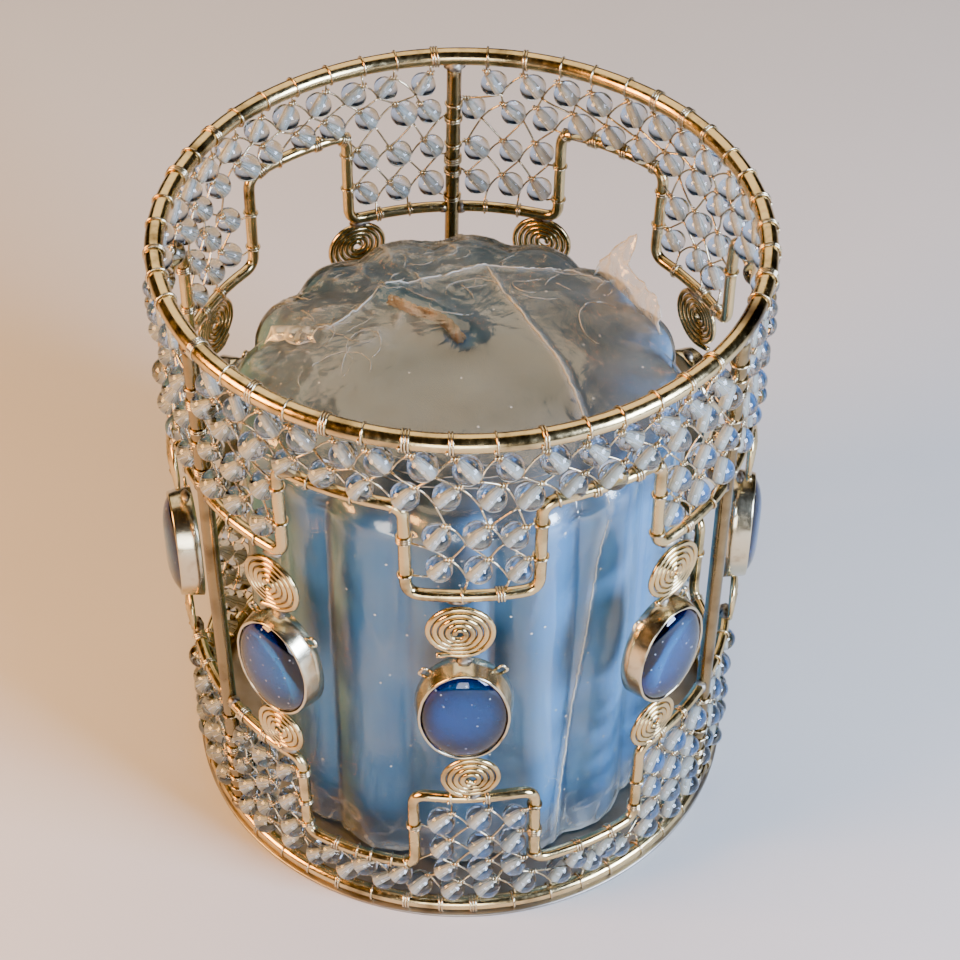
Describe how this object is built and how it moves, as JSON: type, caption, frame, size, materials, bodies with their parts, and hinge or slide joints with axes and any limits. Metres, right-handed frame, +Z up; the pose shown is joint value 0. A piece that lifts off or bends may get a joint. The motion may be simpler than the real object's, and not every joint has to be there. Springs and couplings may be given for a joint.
{
  "type": "candle holder",
  "caption": "Round candle holder of polished wire with glass bead nets, wire spirals and blue oval cabochons on a flat plate, holding a fluted pillar candle in clear film.",
  "frame": {"origin": "middle of the underside of the base plate, where the holder stands", "axes": "+Z up along the candle, -Y towards the column that faces the front"},
  "size_m": [0.1278, 0.1268, 0.1439],
  "materials": {
    "polished_wire": "polished nickel-plated wire with a warm tone",
    "base_sheet": "satin sheet, slightly tarnished",
    "glass_beads": "clear pale blue glass rounds with white hearts, strung on thin wire",
    "cobalt_glass": "smooth domed cobalt glass",
    "wax": "translucent grey-blue paraffin wax",
    "wick": "braided cotton, waxed",
    "clear_film": "clear shrink film with wrinkles and a heat-sealed seam"
  },
  "bodies": {
    "holder": {"top_ring": "polished_wire", "base_ring": "polished_wire", "base_plate": "base_sheet", "upright_back": "polished_wire", "upright_left": "polished_wire", "upright_right": "polished_wire", "upper_outline_left": "polished_wire", "lower_outline_left": "polished_wire", "upper_net_left": "glass_beads", "lower_net_left": "glass_beads", "upper_outline_front": "polished_wire", "lower_outline_front": "polished_wire", "upper_net_front": "glass_beads", "lower_net_front": "glass_beads", "upper_outline_right": "polished_wire", "lower_outline_right": "polished_wire", "upper_net_right": "glass_beads", "lower_net_right": "glass_beads", "upper_spiral_1": "polished_wire", "bezel_1": "polished_wire", "cabochon_1": "cobalt_glass", "lower_spiral_1": "polished_wire", "upper_spiral_2": "polished_wire", "bezel_2": "polished_wire", "cabochon_2": "cobalt_glass", "lower_spiral_2": "polished_wire", "upper_spiral_3": "polished_wire", "bezel_3": "polished_wire", "cabochon_3": "cobalt_glass", "lower_spiral_3": "polished_wire", "upper_spiral_4": "polished_wire", "bezel_4": "polished_wire", "cabochon_4": "cobalt_glass", "lower_spiral_4": "polished_wire", "upper_spiral_5": "polished_wire", "bezel_5": "polished_wire", "cabochon_5": "cobalt_glass", "lower_spiral_5": "polished_wire", "upper_spiral_6": "polished_wire", "bezel_6": "polished_wire", "cabochon_6": "cobalt_glass", "lower_spiral_6": "polished_wire", "upper_spiral_7": "polished_wire", "bezel_7": "polished_wire", "cabochon_7": "cobalt_glass", "lower_spiral_7": "polished_wire", "upper_spiral_8": "polished_wire", "bezel_8": "polished_wire", "cabochon_8": "cobalt_glass", "lower_spiral_8": "polished_wire", "upper_spiral_9": "polished_wire", "bezel_9": "polished_wire", "cabochon_9": "cobalt_glass", "lower_spiral_9": "polished_wire"},
    "candle": {"candle_wax": "wax", "candle_wick": "wick", "shrink_film": "clear_film"}
  },
  "joints": [
    {"name": "candle_lift", "type": "slide", "parent": "holder", "child": "candle", "axis": [0, 0, 1], "range_m": [0, 0.15]}
  ]
}
